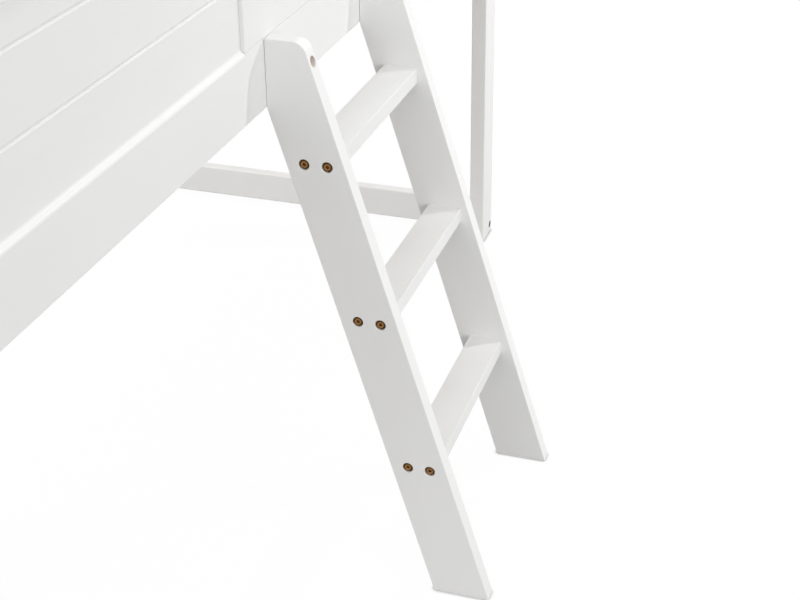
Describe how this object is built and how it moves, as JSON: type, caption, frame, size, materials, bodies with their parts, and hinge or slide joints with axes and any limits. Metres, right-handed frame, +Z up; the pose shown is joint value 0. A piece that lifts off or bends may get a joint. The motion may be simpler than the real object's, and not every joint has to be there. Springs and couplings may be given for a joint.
{
  "type": "loft bed",
  "caption": "Mid-high loft bed in white lacquered wood with grooved guard panels and a slanted ladder bolted to its front.",
  "frame": {"origin": "on the floor, midway along the bed and midway between the back face and the front of the ladder's feet", "axes": "+X along the bed to the right seen from the ladder, +Y from the ladder to the back, +Z up"},
  "size_m": [2.08, 1.3052, 1.17],
  "materials": {
    "white_lacquer": "satin white lacquer on pine and board, edges softly rounded",
    "bare_pine": "planed bare pine",
    "bronze_bolt": "dull bronzed steel, darker in the socket"
  },
  "bodies": {
    "root": {"front_left_leg": "white_lacquer", "front_left_leg_bolt": "bronze_bolt", "front_right_leg": "white_lacquer", "front_right_leg_bolt": "bronze_bolt", "back_left_leg": "white_lacquer", "back_left_leg_bolt": "bronze_bolt", "back_right_leg": "white_lacquer", "back_right_leg_bolt": "bronze_bolt", "front_rail": "white_lacquer", "front_ledger": "white_lacquer", "front_left_guard_panel": "white_lacquer", "front_left_guard_top_rail": "white_lacquer", "front_right_guard_panel": "white_lacquer", "front_right_guard_top_rail": "white_lacquer", "entry_board": "white_lacquer", "entry_left_batten": "white_lacquer", "entry_right_batten": "white_lacquer", "back_rail": "white_lacquer", "back_ledger": "white_lacquer", "back_guard_panel": "white_lacquer", "back_guard_top_rail": "white_lacquer", "left_end_rail": "white_lacquer", "left_end_panel": "white_lacquer", "left_end_top_rail": "white_lacquer", "left_floor_rail": "white_lacquer", "right_end_rail": "white_lacquer", "right_end_panel": "white_lacquer", "right_end_top_rail": "white_lacquer", "right_floor_rail": "white_lacquer", "slat_01": "bare_pine", "slat_02": "bare_pine", "slat_03": "bare_pine", "slat_04": "bare_pine", "slat_05": "bare_pine", "slat_06": "bare_pine", "slat_07": "bare_pine", "slat_08": "bare_pine", "slat_09": "bare_pine", "slat_10": "bare_pine", "slat_11": "bare_pine", "slat_12": "bare_pine", "tread_1": "white_lacquer", "tread_2": "white_lacquer", "tread_3": "white_lacquer", "left_stringer": "white_lacquer", "left_ladder_bolt": "bronze_bolt", "tread_1_left_front_bolt": "bronze_bolt", "tread_1_left_back_bolt": "bronze_bolt", "tread_2_left_front_bolt": "bronze_bolt", "tread_2_left_back_bolt": "bronze_bolt", "tread_3_left_front_bolt": "bronze_bolt", "tread_3_left_back_bolt": "bronze_bolt", "right_stringer": "white_lacquer", "right_ladder_bolt": "bronze_bolt", "tread_1_right_front_bolt": "bronze_bolt", "tread_1_right_back_bolt": "bronze_bolt", "tread_2_right_front_bolt": "bronze_bolt", "tread_2_right_back_bolt": "bronze_bolt", "tread_3_right_front_bolt": "bronze_bolt", "tread_3_right_back_bolt": "bronze_bolt"}
  },
  "joints": []
}
